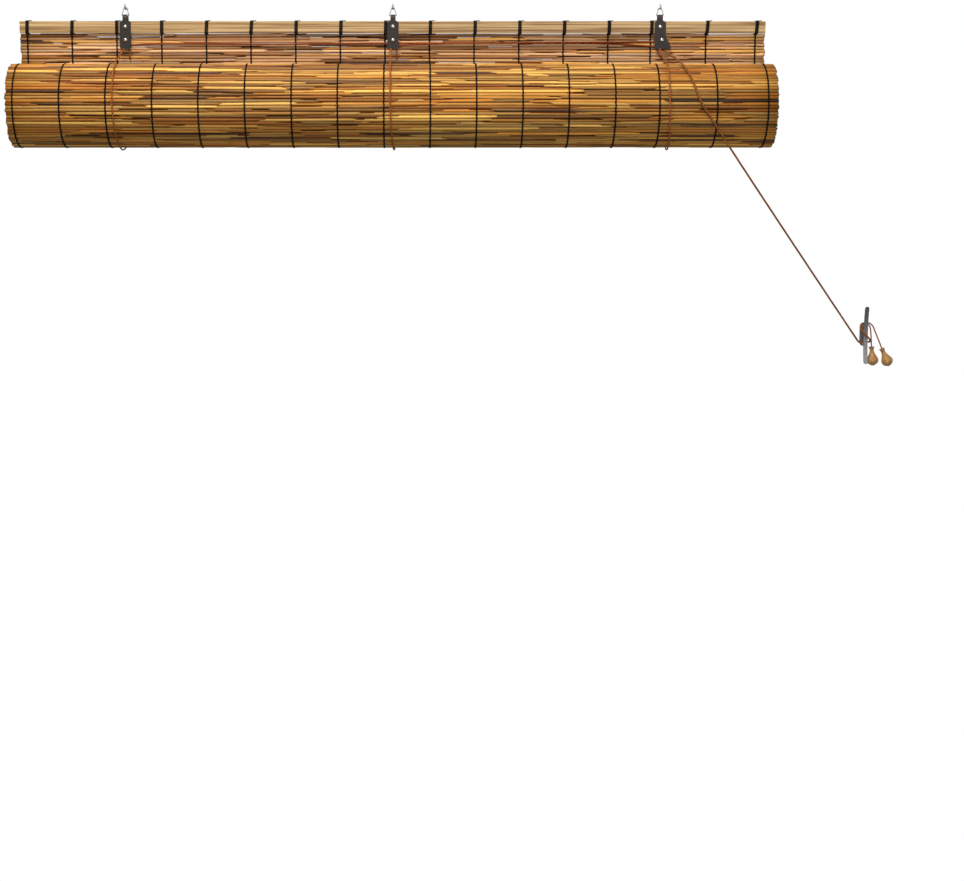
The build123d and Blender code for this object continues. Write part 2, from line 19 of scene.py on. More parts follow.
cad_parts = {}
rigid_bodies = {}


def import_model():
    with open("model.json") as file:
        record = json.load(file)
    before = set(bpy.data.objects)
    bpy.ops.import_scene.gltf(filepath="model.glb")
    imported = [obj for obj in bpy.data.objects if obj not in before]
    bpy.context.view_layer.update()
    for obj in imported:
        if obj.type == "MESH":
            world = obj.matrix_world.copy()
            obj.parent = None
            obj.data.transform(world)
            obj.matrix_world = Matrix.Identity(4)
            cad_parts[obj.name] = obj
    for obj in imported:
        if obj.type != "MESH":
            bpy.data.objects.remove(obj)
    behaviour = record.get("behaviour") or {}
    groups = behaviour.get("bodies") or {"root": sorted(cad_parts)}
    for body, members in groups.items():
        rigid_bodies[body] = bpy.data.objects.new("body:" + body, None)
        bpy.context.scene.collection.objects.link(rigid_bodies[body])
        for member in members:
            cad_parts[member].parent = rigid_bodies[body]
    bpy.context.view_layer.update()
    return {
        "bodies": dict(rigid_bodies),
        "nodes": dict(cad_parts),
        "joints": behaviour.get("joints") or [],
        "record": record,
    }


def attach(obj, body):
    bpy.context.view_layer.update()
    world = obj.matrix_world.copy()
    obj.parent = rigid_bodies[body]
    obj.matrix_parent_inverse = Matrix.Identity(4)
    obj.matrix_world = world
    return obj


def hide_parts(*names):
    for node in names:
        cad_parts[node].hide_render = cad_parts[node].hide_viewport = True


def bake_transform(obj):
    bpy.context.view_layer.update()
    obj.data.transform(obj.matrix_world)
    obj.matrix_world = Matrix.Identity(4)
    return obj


Tree, Node, Socket = bpy.types.NodeTree, bpy.types.Node, bpy.types.NodeSocket
Piece, Material = bpy.types.Object, bpy.types.Material
Value = object      # what a socket takes: a number, a colour, an object, another socket or a Sum

LOG = logging.getLogger("blind")
MM = 0.001
SEED = 20417


class Body(str, Enum):
    """Names of the moving groups in the frame."""

    WALL = "wall_fixings"
    HEAD = "head"
    CARRIAGE = "carriage"
    ROLL = "roll"


class Slot(str, Enum):
    """Names of the record's material slots."""

    REED_FLAT = "reed_flat"
    REED_ROLL = "reed_roll"
    THREAD = "binding_thread"
    CORD = "twisted_cord"


@dataclass(frozen=True)
class Layout:
    """Measured places of the frame, in millimetres.

    Attributes:
        half_width: half of the mat's width.
        mat_y: middle of the hanging mat, front to back.
        mat_top: where the mat starts under the headrail.
        roll_y: the roll's axis, front to back.
        roll_z: the roll's axis, up and down.
        line_radius: radius of the outer turn's middle line.
        rolled: length of mat in the roll at rest.
        winding: distance from one turn to the next.
        reed: thickness of one reed.
        pitch: distance from one row of reeds to the next.
        threads: places of the binding threads along the blind.
    """

    half_width: float = 700.0
    mat_y: float = -6.85
    mat_top: float = -47.25
    roll_y: float = -85.5
    roll_z: float = -179.2
    line_radius: float = 78.65
    rolled: float = 1444.3
    winding: float = 8.0
    reed: float = 4.5
    pitch: float = 5.8
    threads: tuple = tuple([-687.3 + 84.0 * i for i in range(14)] + [484.8, 589.3, 682.2])

    @property
    def hanging(self) -> float:
        """Length of mat above the roll at rest."""
        return self.mat_top - self.roll_z


LAY = Layout()


def connect(tree: Tree, socket: Socket, value: Value) -> None:
    """Joins a socket to another, or sets its value."""
    if isinstance(value, Sum):
        value = value.socket
    if isinstance(value, Socket):
        tree.links.new(value, socket)
    else:
        socket.default_value = value


def add_node(tree: Tree, kind: str, inputs: dict | None = None, **settings) -> Node:
    """Adds a node to a tree.

    Args:
        tree: the tree.
        kind: the node's type.
        inputs: name or number of a socket to its value, or to what is joined to it.
        settings: the node's own settings.

    Returns:
        The node.
    """
    made = tree.nodes.new(kind)
    for key, value in settings.items():
        setattr(made, key, value)
    for key, value in (inputs or {}).items():
        connect(tree, made.inputs[key], value)
    return made


def arithmetic(tree: Tree, operation: str, *values: Value) -> Socket:
    """The result of a Math node."""
    return add_node(tree, "ShaderNodeMath", dict(enumerate(values)), operation=operation).outputs[0]


def linked(name: str, data: bpy.types.ID) -> Piece:
    """A new object in the scene."""
    made = bpy.data.objects.new(name, data)
    bpy.context.collection.objects.link(made)
    return made


def clamped(value: float) -> float:
    """The value, kept from 0 to 1."""
    return min(1.0, max(0.0, value))


def vectors(*places: tuple | Vector) -> list[Vector]:
    """The places as vectors."""
    return [Vector(place) for place in places]


def circle(sides: int, turned: float = 0.0) -> list[tuple[float, float]]:
    """Cosines and sines of equal steps round a circle, turned by a share of a step."""
    angles = [2 * math.pi * (j + turned) / sides for j in range(sides)]
    return [(math.cos(a), math.sin(a)) for a in angles]


class Nodes:
    """Short ways to add nodes to a tree.

    Args:
        tree: the node tree.
    """

    def __init__(self, tree: Tree) -> None:
        """Keeps the tree."""
        self.tree = tree

    def node(self, kind: str, inputs: dict | None = None, **settings) -> Node:
        """A new node of this tree."""
        return add_node(self.tree, kind, inputs, **settings)

    def math(self, operation: str, *values: Value) -> Socket:
        """The result of a Math node."""
        return arithmetic(self.tree, operation, *values)

    def mapped(self, value: Value, low: float, high: float, first: float = 0.0, last: float = 1.0) -> Socket:
        """A value taken from the range low to high into first to last, and kept in it."""
        inputs = {"Value": value, "From Min": low, "From Max": high, "To Min": first, "To Max": last}
        return self.node("ShaderNodeMapRange", inputs).outputs[0]

    def ramp(self, factor: Value, *stops: tuple) -> Socket:
        """A colour ramp.

        Args:
            factor: what runs along it.
            stops: position and red, green and blue of each stop, or its position and grey.

        Returns:
            The colour.
        """
        made = self.node("ShaderNodeValToRGB", {"Fac": factor})
        elements = made.color_ramp.elements
        while len(elements) < len(stops):
            elements.new(0.5)
        for element, (place, *colour) in zip(elements, stops):
            element.position = place
            element.color = (*(colour * 3)[:3], 1)
        return made.outputs["Color"]

    def mix(self, factor: Value, a: Value, b: Value, blend: str = "MIX") -> Socket:
        """Two colours mixed by a factor."""
        inputs = {0: factor, 6: a, 7: b}
        return self.node("ShaderNodeMix", inputs, data_type="RGBA", blend_type=blend).outputs[2]


class Sum:
    """A number in a node tree that can be used in plain arithmetic.

    Args:
        tree: the node tree that the number lives in.
        socket: the output socket that carries it.
    """

    def __init__(self, tree: Tree, socket: Socket) -> None:
        """Keeps the socket and its tree."""
        self.tree = tree
        self.socket = socket

    def _math(self, operation: str, *others: Value) -> "Sum":
        """One Math node on this number and the others."""
        return Sum(self.tree, arithmetic(self.tree, operation, self, *others))

    def __add__(self, other: Value) -> "Sum":
        """Adds."""
        return self._math("ADD", other)

    def __sub__(self, other: Value) -> "Sum":
        """Subtracts."""
        return self._math("SUBTRACT", other)

    def __mul__(self, other: Value) -> "Sum":
        """Multiplies."""
        return self._math("MULTIPLY", other)

    def __truediv__(self, other: Value) -> "Sum":
        """Divides."""
        return self._math("DIVIDE", other)

    def root(self) -> "Sum":
        """Square root."""
        return self._math("SQRT")

    def sine(self) -> "Sum":
        """Sine of an angle in radians."""
        return self._math("SINE")

    def cosine(self) -> "Sum":
        """Cosine of an angle in radians."""
        return self._math("COSINE")

    def at_least(self, low: float) -> "Sum":
        """The number, or low where it is less."""
        return self._math("MAXIMUM", low)

    def above(self, level: float) -> "Sum":
        """1 where the number is above the level, else 0."""
        return self._math("GREATER_THAN", level)


class WindingTree(Nodes):
    """Geometry nodes that hang a mat flat above the roll and wind the rest round its axis.

    The vertices hold two numbers: "along", the distance down the mat, and "off", the distance
    from the mat's middle, both in metres. The roll gets thinner as the carriage goes down.

    Args:
        name: the node tree's name.
    """

    def __init__(self, name: str) -> None:
        """Makes the tree with its input and output."""
        super().__init__(bpy.data.node_groups.new(name, "GeometryNodeTree"))
        for way in ("INPUT", "OUTPUT"):
            self.tree.interface.new_socket("Geometry", in_out=way, socket_type="NodeSocketGeometry")
        self._build()

    def _matrix(self, piece: Value) -> Socket:
        """The world matrix of an object."""
        info = self.node("GeometryNodeObjectInfo", {"Object": piece}, transform_space="ORIGINAL")
        return info.outputs["Transform"]

    def _body(self, body: Body) -> Socket:
        """The world matrix of a body of the frame."""
        return self._matrix(bpy.data.objects["body:" + body.value])

    def _seen_from(self, own: Socket, other: Socket) -> Socket:
        """The matrix that takes the other matrix's axes into the first one's."""
        back = self.node("FunctionNodeInvertMatrix", {0: own})
        return self.node("FunctionNodeMatrixMultiply", {0: back.outputs[0], 1: other}).outputs[0]

    def _named(self, name: str, kind: str = "FLOAT") -> Sum:
        """What the vertices hold under a name."""
        node = self.node("GeometryNodeInputNamedAttribute", {"Name": name}, data_type=kind)
        return Sum(self.tree, node.outputs[0])

    def _lowered(self) -> Sum:
        """How far the carriage has gone down from rest, in the headrail's own axes."""
        relative = self._seen_from(self._body(Body.HEAD), self._body(Body.CARRIAGE))
        split = self.node("FunctionNodeSeparateTransform", {0: relative})
        parts = self.node("ShaderNodeSeparateXYZ", {0: split.outputs["Translation"]})
        return Sum(self.tree, parts.outputs["Z"]) * -1.0

    def _left(self, down: Sum) -> Sum:
        """Length of mat still in the roll, never quite none."""
        return (down * -1.0 + LAY.rolled * MM).at_least(MM)

    def _to_own(self, vector: Socket, kind: str) -> Socket:
        """A Point or Direction in the headrail's axes, taken into the piece's own."""
        own = self._matrix(self.node("GeometryNodeSelfObject").outputs[0])
        matrix = self._seen_from(own, self._body(Body.HEAD))
        return self.node("FunctionNodeTransform" + kind, {0: vector, 1: matrix}).outputs[0]

    def _move(self, way: str, vector: Socket) -> None:
        """Ends the tree with the vertices put at a Position or moved by an Offset."""
        start = self.node("NodeGroupInput")
        move = self.node("GeometryNodeSetPosition", {"Geometry": start.outputs[0], way: vector})
        self.node("NodeGroupOutput", {0: move.outputs[0]})

    def _build(self) -> None:
        """Lays out the nodes."""
        lay = LAY
        down = self._lowered()
        along = self._named("along")
        off = self._named("off")
        outer = (self._left(down) / (lay.rolled * MM)).root() * (lay.line_radius * MM)
        past = along - down - lay.hanging * MM
        wound = past.above(0.0)
        per_length = lay.winding * MM / math.pi
        radius = (outer * outer - past.at_least(0.0) * per_length).at_least(1e-6).root()
        angle = (outer - radius) * (2 * math.pi / (lay.winding * MM))
        reach = radius + off
        round_y = reach * angle.cosine() - outer + lay.mat_y * MM
        round_z = reach * angle.sine() * -1.0 - down + lay.roll_z * MM
        flat_y = off + lay.mat_y * MM
        flat_z = along * -1.0 + lay.mat_top * MM
        y = flat_y + (round_y - flat_y) * wound
        z = flat_z + (round_z - flat_z) * wound
        place = self.node("GeometryNodeInputPosition")
        split = self.node("ShaderNodeSeparateXYZ", {0: place.outputs[0]})
        join = self.node("ShaderNodeCombineXYZ", {"X": split.outputs["X"], "Y": y, "Z": z})
        self._move("Position", self._to_own(join.outputs[0], "Point"))


class SlackTree(WindingTree):
    """Geometry nodes that keep the cords tight as the roll goes down and gets thinner.

    The vertices hold two vectors in metres: "shrink", which a loop loses as the roll thins, and
    "slack", which the draw cord moves by once the roll has left it. Both turn with the headrail
    by the vertex number "swing", from 0 to 1.
    """

    GAP = 4.0       # from the outer turn's middle line to the middle of the cord, in millimetres
    CLEAR = 0.25    # metres the roll goes down before the draw cord is straight

    def _scaled(self, name: str, share: Sum) -> Socket:
        """A vertex vector times a number."""
        inputs = {0: self._named(name, "FLOAT_VECTOR"), "Scale": share}
        return self.node("ShaderNodeVectorMath", inputs, operation="SCALE").outputs[0]

    def _build(self) -> None:
        """Lays out the nodes."""
        down = self._lowered().at_least(0.0)
        outer = (self._left(down) / (LAY.rolled * MM)).root() * LAY.line_radius
        shrunk = (outer + self.GAP) / (LAY.line_radius + self.GAP) - 1.0
        freed = (down / self.CLEAR * -1.0).at_least(-1.0) * -1.0
        moves = {0: self._scaled("shrink", shrunk), 1: self._scaled("slack", freed)}
        both = self.node("ShaderNodeVectorMath", moves, operation="ADD").outputs[0]
        ways = {0: self._named("swing"), 4: both, 5: self._to_own(both, "Direction")}
        self._move("Offset", self.node("ShaderNodeMix", ways, data_type="VECTOR").outputs[1])


def wind(along: float, off: float) -> tuple[float, float]:
    """Where a point of the mat lies at rest, in millimetres.

    Args:
        along: distance down the mat.
        off: distance from the mat's middle, towards the wall where it hangs.

    Returns:
        Its y and z.
    """
    past = along - LAY.hanging
    if past <= 0:
        return LAY.mat_y + off, LAY.mat_top - along
    radius = math.sqrt(max(LAY.line_radius**2 - past * LAY.winding / math.pi, 1.0))
    angle = (LAY.line_radius - radius) * 2 * math.pi / LAY.winding
    return (LAY.roll_y + (radius + off) * math.cos(angle), LAY.roll_z - (radius + off) * math.sin(angle))


@dataclass
class Skin:
    """Vertices, faces and vertex numbers of a mesh that lies along the mat.

    Attributes:
        points: places at rest, in metres.
        faces: corner lists.
        numbers: attribute name to one value a vertex.
    """

    points: list = field(default_factory=list)
    faces: list = field(default_factory=list)
    numbers: dict = field(default_factory=dict)

    def add(self, x: float, along: float, off: float, **numbers: float) -> int:
        """Adds a vertex of the mat, in millimetres, and returns its index."""
        y, z = wind(along, off)
        self.points.append((x * MM, y * MM, z * MM))
        for key, value in {"along": along * MM, "off": off * MM, **numbers}.items():
            self.numbers.setdefault(key, []).append(value)
        return len(self.points) - 1

    def tube(self, rings: list[list[int]]) -> None:
        """Joins rings of vertices into a tube with closed ends."""
        for a, b in zip(rings[:-1], rings[1:]):
            count = len(a)
            for i in range(count):
                j = (i + 1) % count
                self.faces.append((a[i], b[i], b[j], a[j]))
        self.faces += [tuple(rings[0]), tuple(reversed(rings[-1]))]

    def finish(self, name: str) -> Piece:
        """Makes the mesh object, smooth where its faces have four corners."""
        mesh = bpy.data.meshes.new(name)
        mesh.from_pydata(self.points, [], self.faces)
        for key, values in self.numbers.items():
            mesh.attributes.new(key, "FLOAT", "POINT").data.foreach_set("value", values)
        mesh.polygons.foreach_set("use_smooth", [len(f) == 4 for f in self.faces])
        mesh.update()
        return linked(name, mesh)


@dataclass
class Lap:
    """Where the end of one stem lies beside the start of the next.

    Attributes:
        length: how far they lie side by side, in millimetres.
        thin: whether the stem in question is the one with the thin tip.
        dark: whether that tip is dark.
    """

    length: float
    thin: bool
    dark: bool


@dataclass
class Stem:
    """One reed of a row.

    Attributes:
        low: left end, in millimetres.
        high: right end.
        left: its lap with the stem before it, if any.
        right: its lap with the next one, if any.
    """

    low: float
    high: float
    left: Lap | None
    right: Lap | None


class ReedField:
    """The reeds of the whole mat: rows of natural stems of random length, laid end by end.

    Lengths are in millimetres.

    Args:
        seed: start of the random choices.
    """

    SIDES = 7
    OVER = 0.4                          # how far the reeds reach past the mat's edge
    TUCK = 0.4                          # the first row lies this much closer to the slat
    LENGTH, LONGER = (120, 280), 1.4    # of a stem; a third of them are this many times longer
    LAP = (20, 115)
    RAGGED = (-1.2, 1.6)                # how far cut ends miss the edge
    SHORTEST = 12
    RADIUS, BOW = (3.0, 3.4), 0.2
    DEPTH = 0.68                        # a stem's depth as a share of its height
    STEP, COARSE = 60, 120              # between rings of vertices

    def __init__(self, seed: int) -> None:
        """Counts the rows."""
        self.random = random.Random(seed)
        self.rows = int((LAY.hanging + LAY.rolled) / LAY.pitch)

    def _stems(self) -> list[Stem]:
        """Cuts the stems of one row. Where two meet, one of them ends in a thin and mostly dark tip.

        Returns:
            The stems, from left to right.
        """
        rnd = self.random
        edge = LAY.half_width + self.OVER
        at = -edge - rnd.uniform(0, 260)
        before = Lap(40.0, False, False)
        stems = []
        while at < edge:
            length = rnd.choice((1, 1, self.LONGER)) * rnd.uniform(*self.LENGTH)
            after = Lap(rnd.uniform(*self.LAP), rnd.random() < 0.5, rnd.random() < 0.85)
            low, high = at, at + length
            left, right = replace(before, thin=not before.thin), after
            if low < -edge:
                low, left = -edge + rnd.uniform(*self.RAGGED), None
            if high > edge:
                high, right = edge - rnd.uniform(*self.RAGGED), None
            if high - low > self.SHORTEST:
                stems.append(Stem(low, high, left, right))
            at += length - after.length
            before = after
        return stems

    def _places(self, stem: Stem, fine: bool) -> list[float]:
        """Where a stem gets its rings of vertices.

        Args:
            stem: the stem.
            fine: whether it gets the closer rings.

        Returns:
            Shares of its length, in order.
        """
        span = stem.high - stem.low
        count = max(2, round(span / (self.STEP if fine else self.COARSE)))
        places = {k / count for k in range(count + 1)}
        for lap, from_low in ((stem.left, True), (stem.right, False)):
            if lap:
                for share in (0.35, 0.7, 1.05):
                    t = min(lap.length * share / span, 0.9)
                    places.add(t if from_low else 1 - t)
        return sorted(places)

    def _shape(self, stem: Stem, lean: int, t: float) -> tuple[float, float, float]:
        """How a stem is shaped part of the way along.

        Args:
            stem: the stem.
            lean: 1 or -1, the way it makes room for its neighbours.
            t: share of its length.

        Returns:
            How far it lies aside, its thickness as a share, and metres from where its dark tip starts.
        """
        span = stem.high - stem.low
        aside, slim, burn = 0.0, 1.0, 0.06
        for lap, share, sign in ((stem.left, 1 - t, -1), (stem.right, t, 1)):
            if not lap:
                continue
            away = (1 - share) * span
            near = clamped((1.05 * lap.length - away) / (0.35 * lap.length))
            aside += sign * lean * (1.5 if lap.thin else -0.5) * (0.6 * share + 0.4 * near)
            slim *= 1 - near * (0.36 if lap.thin else 0.18)
            if lap.thin and lap.dark:
                burn = min(burn, (away - 0.85 * lap.length) * MM)
        return aside, slim, burn

    def add_row(self, skin: Skin, index: int, fine: bool) -> None:
        """Adds one row of stems.

        Args:
            skin: the mesh to add to.
            index: which row, counted from the top.
            fine: whether it gets the closer rings.
        """
        rnd = self.random
        middle = LAY.pitch * (index + 0.5) - (self.TUCK if index == 0 else 0.0)
        lean = 1
        for stem in self._stems():
            lean = -lean
            thick = rnd.uniform(*self.RADIUS)
            own = {"tone": rnd.random(), "hue": rnd.random(), "dark": rnd.random()}
            bow = rnd.uniform(-self.BOW, self.BOW)
            shift = rnd.random() * 9
            rings = []
            for t in self._places(stem, fine):
                x = stem.low + (stem.high - stem.low) * t
                aside, slim, burn = self._shape(stem, lean, t)
                radius = thick * slim
                down = middle + aside + bow * math.sin(math.pi * t)
                cut = min(x - stem.low, stem.high - x) * MM
                common = {"burn": burn, "run": x * MM + shift, "cut": cut, **own}
                rings.append([skin.add(x, down + radius * sine, 0.15 * aside + self.DEPTH * radius * cosine,
                                       round=cosine, turn=sine, **common)
                              for cosine, sine in circle(self.SIDES)])
            skin.tube(rings)

    def make(self, name: str, first: int, last: int, fine: bool) -> Piece:
        """Makes some of the rows.

        Args:
            name: the object's name.
            first: the first row.
            last: the row after the last one.
            fine: whether they get the closer rings.

        Returns:
            The object.
        """
        skin = Skin()
        for index in range(first, min(last, self.rows)):
            self.add_row(skin, index, fine)
        return skin.finish(name)


class BindingThreads:
    """Pairs of threads that cross between the rows and go round them, front and back."""

    SIDES = 4
    STEPS = 4                       # rings of vertices to a row
    HALF_WIDE, HALF_DEEP = 1.95, 0.75
    DIP = 0.8                       # how far they sink between two rows, in millimetres

    def make(self, name: str, first: int, last: int) -> Piece:
        """Makes the threads of some rows.

        Args:
            name: the object's name.
            first: the first row.
            last: the row after the last one.

        Returns:
            The object.
        """
        skin = Skin()
        rnd = random.Random(SEED + first)
        crest = LAY.reed / 2 + 0.2
        for x in LAY.threads:
            for face in (-1, 1):
                rings = []
                sway = rnd.uniform(-0.3, 0.3)
                for k in range((last - first) * self.STEPS + 1):
                    along = (first + k / self.STEPS) * LAY.pitch
                    phase = math.pi * k / self.STEPS
                    off = face * (crest - self.DIP + self.DIP * abs(math.sin(phase)))
                    across = x + sway + 0.35 * face * math.cos(phase)
                    rings.append([skin.add(across + self.HALF_WIDE * sine, along,
                                           off + self.HALF_DEEP * cosine, run=along * MM, round=cosine)
                                  for cosine, sine in circle(self.SIDES, 0.5)])
                skin.tube(rings)
        return skin.finish(name)


class Paint(Nodes):
    """A material under construction.

    Args:
        name: the material's name.
    """

    def __init__(self, name: str) -> None:
        """Makes the material, still plain."""
        self.material = bpy.data.materials.new(name)
        self.material.use_nodes = True
        super().__init__(self.material.node_tree)

    def number(self, name: str, kind: str = "GEOMETRY") -> Socket:
        """A number that the vertices, or the object, hold under a name."""
        return self.node("ShaderNodeAttribute", attribute_name=name, attribute_type=kind).outputs["Fac"]

    def place(self) -> Socket:
        """Places in the object's own axes."""
        return self.node("ShaderNodeTexCoord").outputs["Object"]

    def parts(self, vector: Socket) -> bpy.types.bpy_prop_collection:
        """The X, Y and Z of a vector."""
        return self.node("ShaderNodeSeparateXYZ", {"Vector": vector}).outputs

    def noise(self, scale: float, detail: float = 2.0) -> Socket:
        """Noise over the object."""
        inputs = {"Vector": self.place(), "Scale": scale, "Detail": detail}
        return self.node("ShaderNodeTexNoise", inputs).outputs["Fac"]

    def streaks(self, group: Tree, *values: Value) -> tuple:
        """The Fine and Broad outputs of the shared streaks; the values go to its inputs in order."""
        made = self.node("ShaderNodeGroup", node_tree=group)
        for socket, value in zip(made.inputs, values):
            connect(self.tree, socket, value)
        return made.outputs["Fine"], made.outputs["Broad"]

    def done(self, bump: tuple | None = None, **inputs) -> Material:
        """Joins the shader.

        Args:
            bump: strength, depth in metres and height of the bumps.
            inputs: the shader's inputs; underscores stand for spaces.

        Returns:
            The material.
        """
        if bump:
            strength, depth, height = bump
            made = self.node("ShaderNodeBump", {"Strength": strength, "Distance": depth, "Height": height})
            inputs["Normal"] = made.outputs[0]
        shader = self.tree.nodes["Principled BSDF"]
        for key, value in inputs.items():
            connect(self.tree, shader.inputs[key.replace("_", " ")], value)
        return self.material


def noise_group() -> Tree:
    """Shared streaks: noise drawn out along one axis.

    Returns:
        A group with inputs Along, Side, Up, Stretch and Scale, and outputs Fine and Broad.
    """
    tree = bpy.data.node_groups.new("streaks", "ShaderNodeTree")
    for name, value in (("Along", 0.0), ("Side", 0.0), ("Up", 0.0), ("Stretch", 0.03), ("Scale", 900.0)):
        socket = tree.interface.new_socket(name, in_out="INPUT", socket_type="NodeSocketFloat")
        socket.default_value = value
    for name in ("Fine", "Broad"):
        tree.interface.new_socket(name, in_out="OUTPUT", socket_type="NodeSocketFloat")
    nodes = Nodes(tree)
    given = nodes.node("NodeGroupInput").outputs
    drawn = nodes.math("MULTIPLY", given["Along"], given["Stretch"])
    place = nodes.node("ShaderNodeCombineXYZ", {"X": drawn, "Y": given["Side"], "Z": given["Up"]}).outputs[0]
    fine = nodes.node("ShaderNodeTexNoise", {"Vector": place, "Scale": given["Scale"], "Detail": 4.0,
                                             "Roughness": 0.6})
    slow = nodes.math("MULTIPLY", given["Scale"], 0.22)
    broad = nodes.node("ShaderNodeTexNoise", {"Vector": place, "Scale": slow, "Detail": 2.0})
    nodes.node("NodeGroupOutput", {"Fine": fine.outputs["Fac"], "Broad": broad.outputs["Fac"]})
    return tree


class Materials:
    """Every material of the blind, made once."""

    def __init__(self) -> None:
        """Makes them all."""
        self.streaks = noise_group()
        self.reed = self._reed()
        self.rail = self._rail()
        self.thread = self._thread()
        self.wrap = self._wrap()
        self.bracket = self._metal("bracket_paint", (0.013, 0.009, 0.008), 0.6, 0.0)
        self.steel = self._metal("bright_steel", (0.55, 0.54, 0.53), 0.24, 1.0)
        self.cleat = self._cleat()
        self.pulley = self._metal("pulley_plastic", (0.018, 0.018, 0.018), 0.45, 0.0)
        # the second colour of each cord is painted shade for the grooves between its strands
        self.cord = self._cord("twisted_cord", (0.55, 0.18, 0.055), (0.24, 0.055, 0.018))
        self.dark_cord = self._cord("dark_cord", (0.52, 0.11, 0.03), (0.12, 0.02, 0.008))
        self.draw = self._cord("draw_cord", (0.46, 0.17, 0.045), (0.18, 0.055, 0.015))
        self.pull = self._pull()

    def _reed(self) -> Material:
        """Stems, each with its own tone: golden on one side of the mat and pinkish on the other.

        They have fine streaks, dark tips, darker cut ends and painted shade on their flanks where
        neighbouring rows touch; some are stained.
        """
        paint = Paint("reed")
        tone, hue, dark, turn = (paint.number(name) for name in ("tone", "hue", "dark", "turn"))
        fine, broad = paint.streaks(self.streaks, paint.number("run"),
                                    paint.math("MULTIPLY", paint.number("round"), 0.002),
                                    paint.math("MULTIPLY", turn, 0.002), 0.02, 1100.0)
        gold = paint.ramp(hue, (0.0, 0.45, 0.17, 0.026), (0.25, 0.57, 0.262, 0.044), (0.5, 0.43, 0.224, 0.05),
                          (0.7, 0.35, 0.205, 0.06), (0.85, 0.84, 0.5, 0.125), (1.0, 0.4, 0.24, 0.067))
        pink = paint.ramp(hue, (0.0, 0.66, 0.35, 0.17), (0.3, 0.76, 0.475, 0.255), (0.55, 0.49, 0.33, 0.205),
                          (0.75, 0.86, 0.485, 0.128), (1.0, 0.68, 0.445, 0.245))
        base = paint.mix(paint.mapped(paint.number("off"), 0.0004, -0.0008), gold, pink)
        shade = paint.ramp(tone, (0.0, 0.44, 0.31, 0.20), (0.35, 0.78, 0.72, 0.66), (0.75, 1.06, 1.05, 1.02),
                           (1.0, 1.52, 1.48, 1.38))
        base = paint.mix(1.0, base, shade, "MULTIPLY")
        stain = paint.ramp(dark, (0.0, 0.030, 0.016, 0.010), (0.07, 0.10, 0.040, 0.018),
                           (0.15, 0.26, 0.11, 0.045))
        patches = paint.mapped(broad, 0.36, 0.55, 0.25, 1.0)
        base = paint.mix(paint.math("MULTIPLY", paint.math("LESS_THAN", dark, 0.09), patches), base, stain)
        lines = paint.ramp(fine, (0.30, 0.62, 0.54, 0.46), (0.5, 0.93, 0.92, 0.90), (0.7, 1.12, 1.12, 1.10))
        base = paint.mix(0.85, base, lines, "MULTIPLY")
        blotch = paint.ramp(broad, (0.3, 0.80, 0.66, 0.50), (0.5, 1.0))
        base = paint.mix(0.6, base, blotch, "MULTIPLY")
        limit = paint.math("ADD", paint.number("burn"), paint.math("MULTIPLY_ADD", broad, 0.03, -0.015))
        burn = paint.mapped(limit, 0.002, -0.004, 0.0, 0.96)
        tip = paint.ramp(tone, (0.0, 0.014, 0.004, 0.002), (0.45, 0.075, 0.016, 0.002),
                         (1.0, 0.21, 0.055, 0.007))
        base = paint.mix(burn, base, tip)
        # painted shade: the upper and lower flanks of each reed, where it touches the next row, are darkened
        painted_seam_shade = paint.mapped(paint.math("ABSOLUTE", turn), 0.5, 0.93, 0.0, 0.75)
        base = paint.mix(painted_seam_shade, base, (0.32, 0.20, 0.11, 1), "MULTIPLY")
        base = paint.mix(paint.mapped(paint.number("cut"), 0.0, 0.0014), (0.16, 0.085, 0.035, 1), base)
        return paint.done((0.5, 0.0004, fine), Base_Color=base,
                          Roughness=paint.math("MULTIPLY_ADD", fine, 0.3, 0.28),
                          Specular_IOR_Level=paint.math("MULTIPLY_ADD", burn, -0.2, 0.22))

    def _rail(self) -> Material:
        """The slat: pale tan wood with long grain lines."""
        paint = Paint("headrail_wood")
        x, y, z = paint.parts(paint.place())
        fine, broad = paint.streaks(self.streaks, x, y, z, 0.012, 330.0)
        grain = paint.ramp(fine, (0.4, 0.24, 0.135, 0.05), (0.47, 0.4, 0.255, 0.105),
                           (0.55, 0.49, 0.34, 0.16), (0.64, 0.62, 0.45, 0.24))
        patches = paint.ramp(broad, (0.35, 0.86, 0.80, 0.72), (0.6, 1.03, 1.02, 1.0))
        base = paint.mix(0.8, grain, patches, "MULTIPLY")
        return paint.done((0.35, 0.0005, fine), Base_Color=base, Roughness=0.5)

    def _thread(self) -> Material:
        """Black binding thread, twisted, with paler fibres."""
        paint = Paint("binding_thread")
        run = paint.math("MULTIPLY", paint.number("run"), 2600.0)
        wave = paint.math("SINE", paint.math("MULTIPLY_ADD", paint.number("round"), 0.9, run))
        base = paint.ramp(wave, (0.0, 0.003), (0.7, 0.007, 0.006, 0.006), (1.0, 0.02, 0.018, 0.018))
        return paint.done((0.6, 0.0003, wave), Base_Color=base, Roughness=0.8, Specular_IOR_Level=0.08)

    def _wrap(self) -> Material:
        """Black thread seen close, with fine fibres."""
        paint = Paint("wrap_thread")
        noise = paint.noise(2600.0, 5.0)
        base = paint.ramp(noise, (0.3, 0.004, 0.004, 0.005), (0.6, 0.012, 0.011, 0.012),
                          (0.8, 0.03, 0.028, 0.028))
        return paint.done((0.5, 0.0002, noise), Base_Color=base, Roughness=0.8, Specular_IOR_Level=0.1)

    def _metal(self, name: str, colour: tuple, rough: float, metallic: float) -> Material:
        """Metal, paint or plastic with a slightly uneven surface."""
        paint = Paint(name)
        noise = paint.noise(900.0, 4.0)
        wear = paint.ramp(noise, (0.3, *(c * 0.82 for c in colour)), (0.7, *(c * 1.18 for c in colour)))
        return paint.done((0.2, 0.0001, noise), Base_Color=wear, Metallic=metallic,
                          Roughness=paint.math("MULTIPLY_ADD", noise, 0.18, rough - 0.09))

